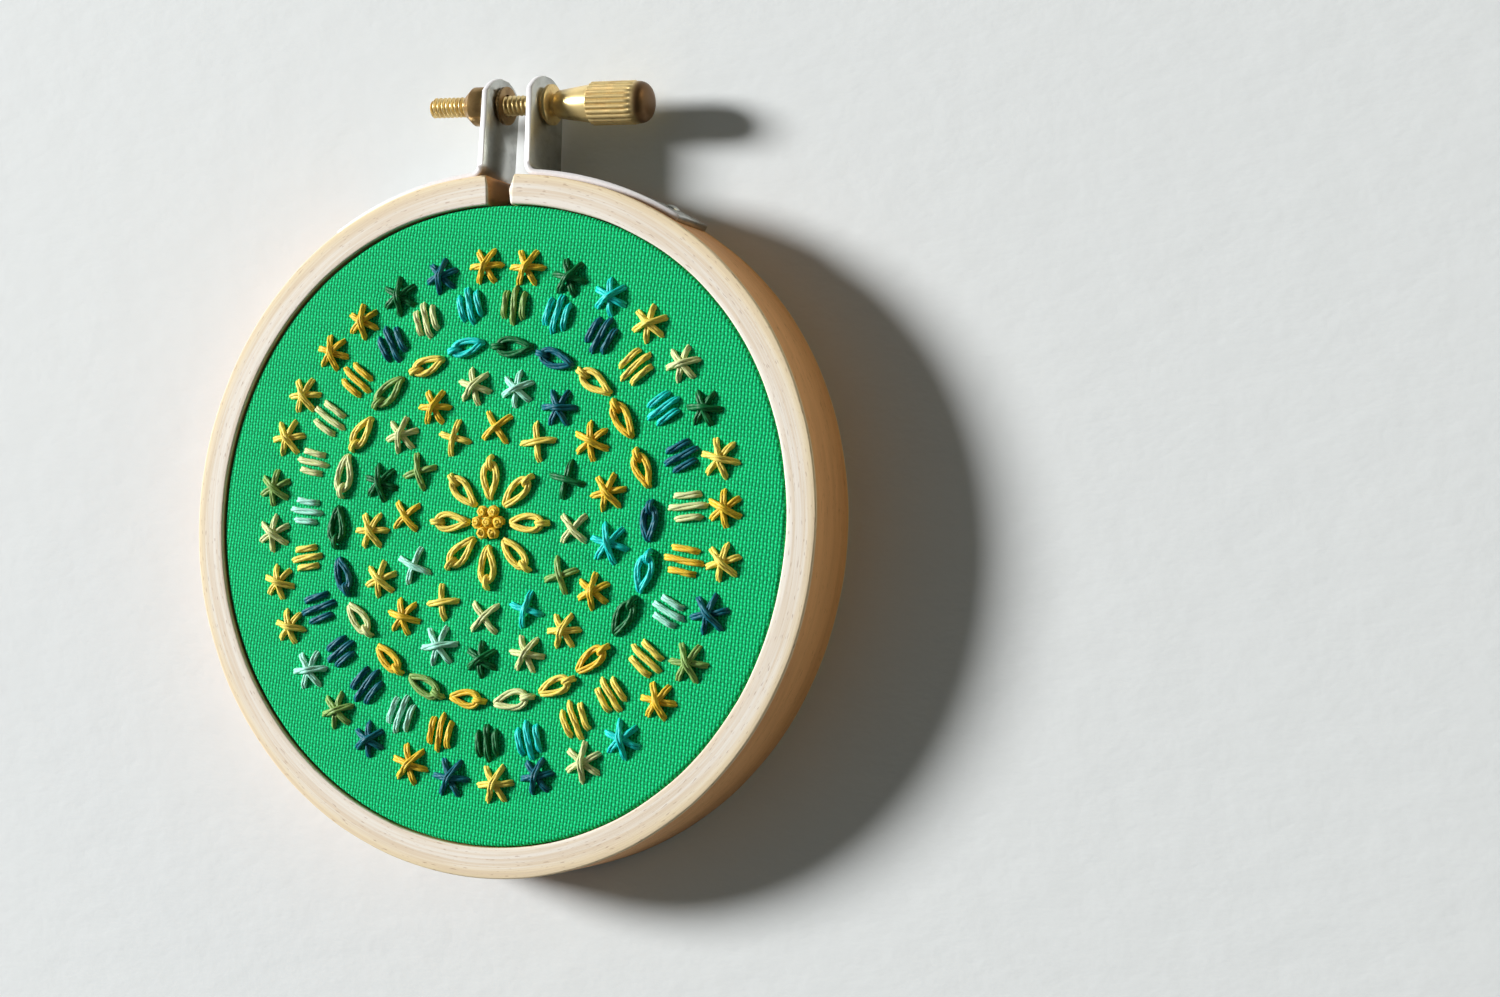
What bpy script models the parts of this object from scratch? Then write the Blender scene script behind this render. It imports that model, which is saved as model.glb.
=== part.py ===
"""Hoop embroidery art: a cloth stretched in a split wooden hoop that a thumbscrew draws tight.

The hoop lies on its back. +Z is out of the cloth's face, +Y points from the hoop's middle to the
thumbscrew, and z = 0 is the surface that the back of the rings rests on. Run it with
blender --background --python part.py, or from the text editor.
"""

import math

import bmesh
import bpy
from mathutils import Matrix, Vector

MM = 0.001
ON_AXIS = 1e-7

# Faces that meet at less than this are shaded as one
SMOOTH_ANGLE = math.radians(35)

# Clearance between pieces that touch on the real object
GAP = 0.3 * MM

# The two wooden rings
RING_R = 44.0 * MM
RING_DEPTH = 11.0 * MM
OUTER_RING_THICKNESS = 3.8 * MM
INNER_RING_THICKNESS = 3.5 * MM
WOOD_EDGE_R = 0.35 * MM
RING_STEPS = 96

# The rings as bent: each row is (waves round the ring, cosine share, sine share) of the radius
OUT_OF_ROUND = (
    (3, -0.00045, 0.0027),
    (4, -0.0027, 0.0017),
    (5, -0.0006, -0.0009),
)

# The outer ring's two sawn ends, seen from the front: each row is
# (distance up from the hoop's middle, distance sideways from its centre line)
LEFT_END = (
    (39.5 * MM, -1.62 * MM),
    (42.3 * MM, -1.80 * MM),
    (44.5 * MM, -2.42 * MM),
)
RIGHT_END = (
    (44.5 * MM, 2.45 * MM),
    (42.7 * MM, 1.81 * MM),
    (41.6 * MM, 1.44 * MM),
    (39.5 * MM, 1.78 * MM),
)

# The cloth: its face is a little below the ring's front, and its edge is turned down between the rings
CLOTH_THICKNESS = 1.0 * MM
CLOTH_RECESS = 0.4 * MM
CLOTH_FOLD_R = 1.3 * MM
CLOTH_TRIM = 0.6 * MM
CLOTH_FOLD_STEPS = 4

# The steel straps, each bent up into a lug
STEEL_THICKNESS = 0.8 * MM
STRAP_WIDTH = 8.4 * MM
LUG_TOP = 57.0 * MM
LUG_ARCH = 2.2 * MM
BEND_R = 1.4 * MM
STEEL_EDGE = 0.08 * MM
STEEL_EDGE_ANGLE = math.radians(50)
STRAP_STEPS = 22
BEND_STEPS = 6
LUG_STEPS = 1
ARCH_STEPS = 6
ARCH_TIP = 0.86
WIDTH_STEPS = 1
LEFT_STRAP_END = math.radians(123.4)
RIGHT_STRAP_END = math.radians(57.0)

# The screw's axis crosses the hoop's centre line at this distance from the middle, leaning clockwise
SCREW_HEIGHT = 53.5 * MM
SCREW_LEAN = math.radians(2.0)
LEFT_LUG_X = -3.35 * MM
RIGHT_LUG_X = 3.08 * MM
SCREW_Z = RING_DEPTH / 2

# The thumbscrew, from its left end by the grip to its smooth domed cap
THREAD_R = 1.3 * MM
THREAD_DEPTH = 0.28 * MM
THREAD_PITCH = 0.64 * MM
THREAD_START = -13.4 * MM
THREAD_TIP_R = 0.8 * MM
THREAD_STEPS = 12
ROWS_PER_PITCH = 4
COLLAR_X = 3.84 * MM
COLLAR_LENGTH = 0.62 * MM
COLLAR_R = 2.6 * MM
NECK_R = 1.4 * MM
TAPER_X = 5.2 * MM
TAPER_START_R = 1.75 * MM
TAPER_END_R = 2.45 * MM
GRIP_X = 10.0 * MM
GRIP_END_X = 16.2 * MM
GRIP_R = 2.75 * MM
GRIP_BEVEL = 0.35 * MM
GRIP_RIDGES = 24
GRIP_RIDGE_DEPTH = 0.22 * MM
CAP_END_X = 17.2 * MM
CAP_R = 2.62 * MM
DOME_HEIGHT = 1.0 * MM
DOME_STEPS = 5

# The brass nut in the left lug. The lugs' holes have as many sides as the nut
NUT_BORE_R = 1.44 * MM
NUT_LENGTH = 3.8 * MM
NUT_CONE = 1.0 * MM
NUT_TIP_R = 1.65 * MM
NUT_R = 2.5 * MM
NUT_BARREL_R = 1.8 * MM
NUT_RIM = 0.4 * MM
NUT_RIM_R = 2.45 * MM
NUT_STEPS = 32
LEFT_HOLE_R = NUT_BARREL_R + GAP
RIGHT_HOLE_R = 1.75 * MM

# The brads through the straps, at these angles round the hoop
BRAD_ANGLES = (61.4, 78.7, 101.3, 119.0)
BRAD_HEAD_R = 0.9 * MM
BRAD_HEAD_HEIGHT = 0.35 * MM
BRAD_SHANK_R = 0.4 * MM
BRAD_DEPTH = 2.4 * MM
BRAD_STEPS = 12
BRAD_DOME_STEPS = 3

# Worked out from the sizes above
HOOP_Y = (RING_R - LUG_TOP) / 2
RING_INNER_R = RING_R - OUTER_RING_THICKNESS
SKIRT_OUTER_R = RING_INNER_R - GAP
SKIRT_INNER_R = SKIRT_OUTER_R - CLOTH_THICKNESS
INNER_RING_OUTER_R = SKIRT_INNER_R - GAP
INNER_RING_INNER_R = INNER_RING_OUTER_R - INNER_RING_THICKNESS
CLOTH_TOP = RING_DEPTH - CLOTH_RECESS
CLOTH_UNDER = CLOTH_TOP - CLOTH_THICKNESS
INNER_RING_DEPTH = CLOTH_UNDER - GAP
STRAP_MID_R = RING_R + GAP + STEEL_THICKNESS / 2
STRAP_OUTER_R = STRAP_MID_R + STEEL_THICKNESS / 2

parts = None
cutters = None


def clear_scene():
    for obj in list(bpy.data.objects):
        bpy.data.objects.remove(obj, do_unlink=True)


def new_collection(name):
    collection = bpy.data.collections.new(name)
    bpy.context.scene.collection.children.link(collection)
    return collection


def material(name, color, roughness, metallic=0.0):
    made = bpy.data.materials.new(name)
    made.use_nodes = True
    shader = made.node_tree.nodes["Principled BSDF"]
    shader.inputs["Base Color"].default_value = (*color, 1.0)
    shader.inputs["Roughness"].default_value = roughness
    shader.inputs["Metallic"].default_value = metallic
    return made


def empty(name, parent=None, location=(0, 0, 0), turn=0.0):
    made = bpy.data.objects.new(name, None)
    parts.objects.link(made)
    made.parent = parent
    made.location = location
    made.rotation_euler = (0, 0, turn)
    return made


def object_from(bm, name, look, parent, collection=None):
    """The bmesh as a smooth-shaded object with one material."""
    mesh = bpy.data.meshes.new(name)
    bm.to_mesh(mesh)
    bm.free()
    made = bpy.data.objects.new(name, mesh)
    (collection or parts).objects.link(made)
    made.parent = parent
    if look:
        mesh.materials.append(look)
    mesh.shade_smooth()
    mesh.set_sharp_from_angle(angle=SMOOTH_ANGLE)
    return made


def out_of_round(angle):
    """How far the bent rings stand out from a true circle at this angle."""
    share = 0.0
    for waves, cosine, sine in OUT_OF_ROUND:
        share += cosine * math.cos(waves * angle) + sine * math.sin(waves * angle)
    return RING_R * share


def spun(profile, axis, steps, closed):
    """A bmesh of the profile's points turned once round an axis through the origin."""
    bm = bmesh.new()
    verts = [bm.verts.new(point) for point in profile]
    pairs = list(zip(verts, verts[1:]))
    if closed:
        pairs.append((verts[-1], verts[0]))
    edges = [bm.edges.new(pair) for pair in pairs]
    bmesh.ops.spin(
        bm, geom=verts + edges, cent=(0, 0, 0), axis=axis, angle=2 * math.pi, steps=steps, use_merge=True
    )
    bmesh.ops.remove_doubles(bm, verts=bm.verts, dist=ON_AXIS)
    bmesh.ops.recalc_face_normals(bm, faces=bm.faces)
    return bm


def bend_out_of_round(bm):
    """Gives a turned piece the rings' own uneven roundness. The centre of a disc stays in place."""
    for vert in bm.verts:
        flat = Vector((vert.co.x, vert.co.y))
        radius = flat.length
        if radius < ON_AXIS:
            continue
        angle = math.atan2(vert.co.y, vert.co.x)
        flat *= 1 + out_of_round(angle) / radius
        vert.co.x, vert.co.y = flat


def rounded_section(inner, outer, low, high, corner, steps=1):
    """Points round a rectangle with rounded corners, in the plane of the hoop's radius and depth."""
    centres = (
        (outer - corner, high - corner, 0.0),
        (inner + corner, high - corner, 90.0),
        (inner + corner, low + corner, 180.0),
        (outer - corner, low + corner, 270.0),
    )
    points = []
    for x, z, start in centres:
        for step in range(steps + 1):
            angle = math.radians(start + 90.0 * step / steps)
            points.append((x + corner * math.cos(angle), 0, z + corner * math.sin(angle)))
    return points


def cut(obj, cutter):
    boolean = obj.modifiers.new("cut " + cutter.name, "BOOLEAN")
    boolean.operation = "DIFFERENCE"
    boolean.solver = "EXACT"
    boolean.object = cutter


def hide_cutter(obj):
    obj.hide_render = True
    obj.display_type = "WIRE"
    return obj


def round_cutter(name, parent, radius, start, end, segments, turn=0.0, location=(0, 0, 0)):
    """A cylinder along its own X axis, from start to end."""
    bm = bmesh.new()
    bmesh.ops.create_cone(
        bm, cap_ends=True, segments=segments, radius1=radius, radius2=radius, depth=end - start
    )
    lay_along_x = Matrix.Rotation(math.pi / 2, 4, "Y")
    bm.transform(Matrix.Translation(((start + end) / 2, 0, 0)) @ lay_along_x)
    made = object_from(bm, name, None, parent, cutters)
    made.rotation_euler = (0, 0, turn)
    made.location = location
    return hide_cutter(made)


def wooden_rings(hoop):
    """The inner ring, and the outer ring whole: its gap is cut by the next function."""
    beech = material("beech", (0.78, 0.64, 0.46), 0.6)
    rings = []
    for name, inner, outer, depth in (
        ("outer_ring", RING_INNER_R, RING_R, RING_DEPTH),
        ("inner_ring", INNER_RING_INNER_R, INNER_RING_OUTER_R, INNER_RING_DEPTH),
    ):
        section = rounded_section(inner, outer, 0, depth, WOOD_EDGE_R)
        bm = spun(section, (0, 0, 1), RING_STEPS, closed=True)
        bend_out_of_round(bm)
        rings.append(object_from(bm, name, beech, hoop))
    return rings


def saw_gap(ring, hoop):
    """Cuts the outer ring through at the top, with the slanted and notched ends of the real one."""
    outline = bpy.data.curves.new("ring gap", "CURVE")
    outline.dimensions = "2D"
    outline.fill_mode = "BOTH"
    outline.extrude = RING_DEPTH
    points = LEFT_END + RIGHT_END
    spline = outline.splines.new("POLY")
    spline.points.add(len(points) - 1)
    for point, (distance, sideways) in zip(spline.points, points):
        point.co = (sideways, distance, 0, 1)
    spline.use_cyclic_u = True
    flat = bpy.data.objects.new("ring gap outline", outline)
    cutters.objects.link(flat)
    bm = bmesh.new()
    bm.from_mesh(flat.to_mesh())
    bmesh.ops.remove_doubles(bm, verts=bm.verts, dist=ON_AXIS)
    bmesh.ops.recalc_face_normals(bm, faces=bm.faces)
    bpy.data.objects.remove(flat)
    cutter = hide_cutter(object_from(bm, "ring gap", None, hoop, cutters))
    cutter.location.z = RING_DEPTH / 2
    cut(ring, cutter)


def stretched_cloth(hoop):
    """A taut disc whose rim turns down over the inner ring and ends short of the back."""
    cotton = material("green cotton", (0.03, 0.42, 0.16), 0.85)
    profile = [(0, 0, CLOTH_TOP)]
    corner = SKIRT_OUTER_R - CLOTH_FOLD_R
    for step in range(CLOTH_FOLD_STEPS + 1):
        angle = math.pi / 2 * (1 - step / CLOTH_FOLD_STEPS)
        across = corner + CLOTH_FOLD_R * math.cos(angle)
        profile.append((across, 0, CLOTH_TOP - CLOTH_FOLD_R * (1 - math.sin(angle))))
    profile.append((SKIRT_OUTER_R, 0, CLOTH_TRIM))
    profile.append((SKIRT_INNER_R, 0, CLOTH_TRIM))
    profile.append((SKIRT_INNER_R, 0, CLOTH_UNDER - (CLOTH_FOLD_R - CLOTH_THICKNESS)))
    profile.append((SKIRT_INNER_R - (CLOTH_FOLD_R - CLOTH_THICKNESS), 0, CLOTH_UNDER))
    profile.append((0, 0, CLOTH_UNDER))
    bm = spun(profile, (0, 0, 1), RING_STEPS, closed=False)
    bend_out_of_round(bm)
    return object_from(bm, "cloth", cotton, hoop)


def bracket_path(side, lug_x, lean, strap_end):
    """Points and half widths along the middle of a strap, round its bend and up its lug.

    side is 1 for the right bracket and -1 for the left one. The lug leans by the screw's own angle
    or stands straight, and lug_x is its place along the screw's axis.
    """
    along = Vector((math.cos(lean), -math.sin(lean)))
    up = Vector((math.sin(lean), math.cos(lean)))
    foot = Vector((0, SCREW_HEIGHT)) + along * lug_x
    bend_line = foot + along * side * BEND_R
    top_angle = math.pi / 2
    for _ in range(3):
        strap_r = STRAP_MID_R + out_of_round(top_angle)
        reach = (strap_r + BEND_R) ** 2 - bend_line.length_squared
        drop = math.sqrt(bend_line.dot(up) ** 2 + reach) - bend_line.dot(up)
        centre = bend_line + up * drop
        top_angle = math.atan2(centre.y, centre.x)
    path = []
    for step in range(STRAP_STEPS):
        angle = strap_end + (top_angle - strap_end) * step / STRAP_STEPS
        radius = STRAP_MID_R + out_of_round(angle)
        path.append((Vector((math.cos(angle), math.sin(angle))) * radius, STRAP_WIDTH / 2))
    inward = -centre.normalized() * BEND_R
    sideways = -along * side * BEND_R
    full_bend = inward.angle_signed(sideways)
    for step in range(BEND_STEPS + 1):
        spoke = Matrix.Rotation(-full_bend * step / BEND_STEPS, 2) @ inward
        path.append((centre + spoke, STRAP_WIDTH / 2))
    bend_top = path[-1][0]
    top = (LUG_TOP - bend_top.y) / up.y
    arch_start = top - LUG_ARCH
    for step in range(1, LUG_STEPS + 1):
        path.append((bend_top + up * arch_start * step / LUG_STEPS, STRAP_WIDTH / 2))
    arch_r = (LUG_ARCH**2 + (STRAP_WIDTH / 2) ** 2) / (2 * LUG_ARCH)
    side_angle = math.asin(STRAP_WIDTH / 2 / arch_r)
    for step in range(1, ARCH_STEPS + 1):
        angle = side_angle * (1 - ARCH_TIP * step / ARCH_STEPS)
        height = top - arch_r * (1 - math.cos(angle))
        path.append((bend_top + up * height, arch_r * math.sin(angle)))
    return path


def bracket(name, hoop, screw_axis, side, lug_x, lean, strap_end, hole_r):
    """A bent steel strip with a rounded lug, holed for the screw."""
    path = bracket_path(side, lug_x, lean, strap_end)
    bm = bmesh.new()
    half = 0.5
    bmesh.ops.create_grid(bm, x_segments=len(path) - 1, y_segments=WIDTH_STEPS, size=half)
    for vert in bm.verts:
        station = round((vert.co.x + half) * (len(path) - 1))
        across = vert.co.y / half
        point, half_width = path[station]
        vert.co = (point.x, point.y, SCREW_Z + across * half_width)
    steel = bpy.data.materials.get("plated steel") or material("plated steel", (0.72, 0.72, 0.7), 0.25, 1.0)
    made = object_from(bm, name, steel, hoop)
    thicken = made.modifiers.new("thickness", "SOLIDIFY")
    thicken.thickness = STEEL_THICKNESS
    thicken.offset = 0
    thicken.use_even_offset = True
    soften = made.modifiers.new("sheared edge", "BEVEL")
    soften.width = STEEL_EDGE
    soften.segments = 1
    soften.limit_method = "ANGLE"
    soften.angle_limit = STEEL_EDGE_ANGLE
    reach = 2 * STEEL_THICKNESS
    hole = round_cutter(name + " hole", screw_axis, hole_r, lug_x - reach, lug_x + reach, NUT_STEPS)
    cut(made, hole)
    return made


def ridged_grip(along, radius, angle):
    """Straight ridges along the grip, which is the only part this wide."""
    if radius < GRIP_R - GRIP_BEVEL / 10 or not GRIP_X < along < GRIP_END_X:
        return radius
    return radius - GRIP_RIDGE_DEPTH * (0.5 - 0.5 * math.cos(GRIP_RIDGES * angle))


def helical_thread(along, radius, angle):
    """A thread's wave on the shank's full width."""
    if radius < THREAD_R - THREAD_DEPTH / 10:
        return radius
    turns = along / THREAD_PITCH - angle / (2 * math.pi)
    return radius - THREAD_DEPTH * (0.5 - 0.5 * math.cos(2 * math.pi * turns))


def reshape(bm, rule):
    """Moves each point of a piece turned round X to the radius that the rule gives it."""
    for vert in bm.verts:
        radius = math.hypot(vert.co.y, vert.co.z)
        if radius > 0:
            share = rule(vert.co.x, radius, math.atan2(vert.co.z, vert.co.y)) / radius
            vert.co.y *= share
            vert.co.z *= share


def thumbscrew(screw_axis):
    """The threaded shank, and the head with its collar, neck, taper, grip and cap, made one."""
    brass = bpy.data.materials.get("brass") or material("brass", (0.78, 0.58, 0.24), 0.25, 1.0)
    start = THREAD_START + THREAD_PITCH / 2
    end = COLLAR_X + COLLAR_LENGTH / 2
    rows = round((end - start) / THREAD_PITCH * ROWS_PER_PITCH)
    shank = [(THREAD_START, 0, 0), (THREAD_START, THREAD_TIP_R, 0)]
    for row in range(rows + 1):
        shank.append((start + (end - start) * row / rows, THREAD_R, 0))
    shank.append((end, 0, 0))
    bm = spun(shank, (1, 0, 0), THREAD_STEPS, closed=False)
    reshape(bm, helical_thread)
    made = object_from(bm, "thumbscrew", brass, screw_axis)

    collar_end = COLLAR_X + COLLAR_LENGTH
    collar_edge = COLLAR_LENGTH / 6
    head = [
        (COLLAR_X, 0, 0),
        (COLLAR_X, COLLAR_R - collar_edge, 0),
        (COLLAR_X + collar_edge, COLLAR_R, 0),
        (collar_end - collar_edge, COLLAR_R, 0),
        (collar_end, COLLAR_R - collar_edge, 0),
        (collar_end, NECK_R, 0),
        (TAPER_X, NECK_R, 0),
        (TAPER_X, TAPER_START_R, 0),
        (GRIP_X, TAPER_END_R, 0),
        (GRIP_X + GRIP_BEVEL, GRIP_R, 0),
        (GRIP_END_X - GRIP_BEVEL, GRIP_R, 0),
        (GRIP_END_X, CAP_R, 0),
        (CAP_END_X, CAP_R, 0),
    ]
    for step in range(1, DOME_STEPS):
        angle = math.pi / 2 * step / DOME_STEPS
        head.append((CAP_END_X + DOME_HEIGHT * math.sin(angle), CAP_R * math.cos(angle), 0))
    head.append((CAP_END_X + DOME_HEIGHT, 0, 0))
    bm = spun(head, (1, 0, 0), 2 * GRIP_RIDGES, closed=False)
    reshape(bm, ridged_grip)
    head_piece = hide_cutter(object_from(bm, "thumbscrew head", brass, screw_axis, cutters))
    join = made.modifiers.new("join head", "BOOLEAN")
    join.operation = "UNION"
    join.solver = "EXACT"
    join.object = head_piece
    return made


def thread_nut(screw_axis):
    """A turned nut with a coned tip. Its barrel passes the left lug, and its rim is spread inside."""
    brass = bpy.data.materials.get("brass") or material("brass", (0.78, 0.58, 0.24), 0.25, 1.0)
    lug_outside = LEFT_LUG_X - STEEL_THICKNESS / 2 - GAP
    lug_inside = LEFT_LUG_X + STEEL_THICKNESS / 2 + GAP
    tip = lug_outside - NUT_LENGTH
    profile = [
        (tip, NUT_BORE_R, 0),
        (tip, NUT_TIP_R, 0),
        (tip + NUT_CONE, NUT_R, 0),
        (lug_outside, NUT_R, 0),
        (lug_outside, NUT_BARREL_R, 0),
        (lug_inside, NUT_BARREL_R, 0),
        (lug_inside, NUT_RIM_R, 0),
        (lug_inside + NUT_RIM, NUT_RIM_R, 0),
        (lug_inside + NUT_RIM, NUT_BORE_R, 0),
    ]
    bm = spun(profile, (1, 0, 0), NUT_STEPS, closed=True)
    return object_from(bm, "thread_nut", brass, screw_axis)


def brad(number, degrees, hoop, ring, strap):
    """A small nail with a domed head on the strap and its shank in the wood."""
    steel = bpy.data.materials["plated steel"]
    angle = math.radians(degrees)
    swell = out_of_round(angle)
    seat = STRAP_OUTER_R + GAP + swell
    tip = RING_R + swell - BRAD_DEPTH
    profile = [(tip, 0, 0), (tip + BRAD_SHANK_R, BRAD_SHANK_R, 0), (seat, BRAD_SHANK_R, 0)]
    for step in range(BRAD_DOME_STEPS):
        lift = math.pi / 2 * step / BRAD_DOME_STEPS
        profile.append((seat + BRAD_HEAD_HEIGHT * math.sin(lift), BRAD_HEAD_R * math.cos(lift), 0))
    profile.append((seat + BRAD_HEAD_HEIGHT, 0, 0))
    made = object_from(spun(profile, (1, 0, 0), BRAD_STEPS, closed=False), f"brad_{number}", steel, hoop)
    made.location.z = SCREW_Z
    made.rotation_euler = (0, 0, angle)
    hole_r = BRAD_SHANK_R + GAP
    middle = (0, 0, SCREW_Z)
    hole = round_cutter(
        f"brad hole {number}", hoop, hole_r, tip - GAP, seat + GAP, BRAD_STEPS, angle, middle
    )
    cut(ring, hole)
    cut(strap, hole)


def main():
    global parts, cutters
    clear_scene()
    parts = new_collection("hoop_embroidery")
    cutters = new_collection("cutters")
    hoop = empty("hoop middle", location=(0, HOOP_Y, 0))
    screw_axis = empty("screw axis", hoop, (0, SCREW_HEIGHT, SCREW_Z), -SCREW_LEAN)
    outer_ring, _ = wooden_rings(hoop)
    saw_gap(outer_ring, hoop)
    stretched_cloth(hoop)
    left = bracket(
        "bracket_left", hoop, screw_axis, -1, LEFT_LUG_X, SCREW_LEAN, LEFT_STRAP_END, LEFT_HOLE_R
    )
    right = bracket(
        "bracket_right", hoop, screw_axis, 1, RIGHT_LUG_X, 0.0, RIGHT_STRAP_END, RIGHT_HOLE_R
    )
    thread_nut(screw_axis)
    thumbscrew(screw_axis)
    for number, degrees in enumerate(BRAD_ANGLES, 1):
        brad(number, degrees, hoop, outer_ring, right if degrees < 90 else left)


main()
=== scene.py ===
"""Looks of the hoop embroidery art: beech rings, woven cotton, stitches, steel straps and brass screw.

It is laid out as an add-on with one operator for each group of pieces, and main() calls them in order.
Lengths are in metres. +Z is out of the cloth's face, +Y points from the hoop's middle to the thumbscrew.
"""

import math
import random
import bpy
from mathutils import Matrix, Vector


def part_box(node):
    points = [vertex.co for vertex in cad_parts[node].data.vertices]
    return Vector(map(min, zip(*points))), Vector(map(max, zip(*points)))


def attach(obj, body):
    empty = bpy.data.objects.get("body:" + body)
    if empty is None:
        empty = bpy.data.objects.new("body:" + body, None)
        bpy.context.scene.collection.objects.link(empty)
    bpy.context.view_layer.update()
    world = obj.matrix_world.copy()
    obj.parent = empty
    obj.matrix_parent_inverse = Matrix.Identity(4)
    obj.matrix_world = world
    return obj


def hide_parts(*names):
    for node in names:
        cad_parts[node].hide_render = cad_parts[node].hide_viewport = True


bl_info = {
    "name": "Embroidered Hoop",
    "version": (1, 0, 0),
    "blender": (4, 5, 0),
    "location": "3D View > Sidebar > Hoop",
    "description": "Dresses an embroidery hoop: rings, woven cotton, stitches, straps and thumbscrew",
    "category": "Object",
}

import bmesh
import bpy
from bpy.props import FloatProperty, FloatVectorProperty, IntProperty, PointerProperty
from mathutils import Matrix, Vector, noise

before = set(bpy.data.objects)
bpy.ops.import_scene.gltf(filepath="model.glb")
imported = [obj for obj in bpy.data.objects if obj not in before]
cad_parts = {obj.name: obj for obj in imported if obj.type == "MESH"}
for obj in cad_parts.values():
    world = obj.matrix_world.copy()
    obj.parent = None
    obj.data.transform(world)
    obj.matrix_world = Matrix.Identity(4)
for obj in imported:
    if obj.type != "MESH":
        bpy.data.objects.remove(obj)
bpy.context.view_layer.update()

MM = 0.001
PER_MM = 1000.0
X_AXIS = (1, 0, 0)
Z_AXIS = (0, 0, 1)

# The rings, as the frame has them
RING_R = 44.0 * MM
RING_THICKNESS = 3.8 * MM
RING_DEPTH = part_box("outer_ring")[1].z
LUG_TOP = 57.0 * MM
HOOP_MIDDLE = Vector((0, (RING_R - LUG_TOP) / 2, 0))
RING_INNER_R = RING_R - RING_THICKNESS
RING_STEPS = 384
CORNER_STEPS = 4
FACE_STEPS = 5
SIDE_STEPS = 8

# The bent rings' roundness: each row is (waves round the ring, cosine share, sine share) of the radius
OUT_OF_ROUND = (
    (3, -0.00045, 0.0027),
    (4, -0.0027, 0.0017),
    (5, -0.0006, -0.0009),
)

# The outer ring's sawn ends, in mm: each row is (distance up from the hoop's middle, distance sideways)
LEFT_END = ((39.5, -1.62), (42.3, -1.80), (44.8, -2.50))
RIGHT_END = ((44.8, 2.55), (42.7, 1.81), (41.6, 1.44), (39.5, 1.78))

# The cloth and the inner ring that it is folded over
CLOTH_THICKNESS = 0.3 * MM
CLOTH_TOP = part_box("cloth")[1].z
CLOTH_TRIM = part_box("cloth")[0].z
CLOTH_FOLD_R = 0.55 * MM
CLOTH_R = RING_INNER_R - 0.13 * MM
CLOTH_RINGS = 66
CLOTH_STEPS = 360
CLOTH_FOLD_STEPS = 6
CLOTH_SKIRT_STEPS = 6
INNER_RING_INNER_R = 35.1 * MM
TOUCH = 0.05 * MM

# The screw's axis, through the middle of the lugs
SCREW_HEIGHT = 53.5 * MM
SCREW_LEAN = math.radians(2.0)
SCREW_MIDDLE = HOOP_MIDDLE + Vector((0, SCREW_HEIGHT, RING_DEPTH / 2))
SCREW_WAY = (math.cos(SCREW_LEAN), -math.sin(SCREW_LEAN), 0.0)
SCREW_STEPS = 44


def srgb(red, green, blue):
    """A screen colour, each channel from 0 to 255, as the scene's linear light."""
    shares = (red / 255, green / 255, blue / 255)
    return tuple(((share + 0.055) / 1.055) ** 2.4 if share > 0.04 else share / 12.92 for share in shares)


# Each strand of thread is wound from this many plies, and one of them passes in every this many mm
PLIES = 4
PLY_LENGTH_MM = 1.1

# The threads' colours: (name, colour, how often it is taken)
THREADS = (
    ("mustard", srgb(250, 208, 60), 5),
    ("straw", srgb(255, 230, 104), 7),
    ("pale moss", srgb(226, 234, 168), 4),
    ("turquoise", srgb(16, 222, 216), 4),
    ("aqua", srgb(176, 246, 224), 4),
    ("petrol", srgb(0, 108, 128), 3),
    ("bottle green", srgb(0, 116, 60), 3),
    ("olive", srgb(146, 184, 100), 2),
)


def length_property(name, description, default):
    return FloatProperty(
        name=name, description=description, default=default, subtype="DISTANCE", unit="LENGTH"
    )


def colour_property(name, description, default):
    return FloatVectorProperty(name=name, description=description, default=default, subtype="COLOR")


class HoopSizes(bpy.types.PropertyGroup):
    wood_edge: length_property("Wood edge", "Radius that the rings' edges are sanded to", 0.26 * MM)
    wood_unevenness: length_property(
        "Wood unevenness", "How far the planed faces wander in and out", 0.06 * MM
    )
    weave_across: length_property(
        "Thread pitch across", "Distance between neighbouring warp threads of the cotton", 0.447 * MM
    )
    weave_along: length_property(
        "Thread pitch along", "Distance between neighbouring weft threads of the cotton", 0.407 * MM
    )
    weave_turn: FloatProperty(
        name="Weave turn",
        description="How far the weave is turned from the hoop's upright",
        default=math.radians(-5),
        subtype="ANGLE",
    )
    motif_reach: length_property("Motif reach", "Distance from a motif's middle to its tips", 2.55 * MM)
    motif_rings: IntProperty(
        name="Motif rings", description="Rings of motifs round the middle flower", default=5, min=1, max=6
    )
    strand_radius: length_property("Strand radius", "Radius of one strand of the sewing thread", 0.23 * MM)
    strands: IntProperty(
        name="Strands", description="Strands laid together in each stitch", default=3, min=1, max=6
    )


class HoopColours(bpy.types.PropertyGroup):
    # The pale face and the deeper orange side are partly the wood's own tones, partly painted light: a
    # painted highlight on the faces, painted warm shade on the sides.
    wood_face: colour_property("Wood face", "Colour of the rings' planed faces", srgb(240, 232, 221))
    wood_side: colour_property("Wood side", "Colour of the rings' bent sides", srgb(226, 171, 116))
    cloth: colour_property("Cloth", "Colour of the cotton", srgb(0, 202, 117))
    brass: colour_property("Brass", "Colour of clean brass", srgb(250, 222, 156))
    steel: colour_property("Steel", "Colour of the plated steel", srgb(196, 197, 192))
    floor: colour_property("Floor", "Colour of the plain floor", srgb(226, 229, 230))


# Making node trees


def add(tree, kind, values=(), **settings):
    """A new node with its settings, and each input in values set, or joined if it is given a socket."""
    made = tree.nodes.new(kind)
    for name, value in settings.items():
        setattr(made, name, value)
    for key, value in dict(values).items():
        if isinstance(value, bpy.types.NodeSocket):
            tree.links.new(value, made.inputs[key])
        else:
            made.inputs[key].default_value = value
    return made


def calc(tree, operation, *values):
    return add(tree, "ShaderNodeMath", enumerate(values), operation=operation).outputs[0]


def times(tree, *values):
    return calc(tree, "MULTIPLY", *values)


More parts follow.
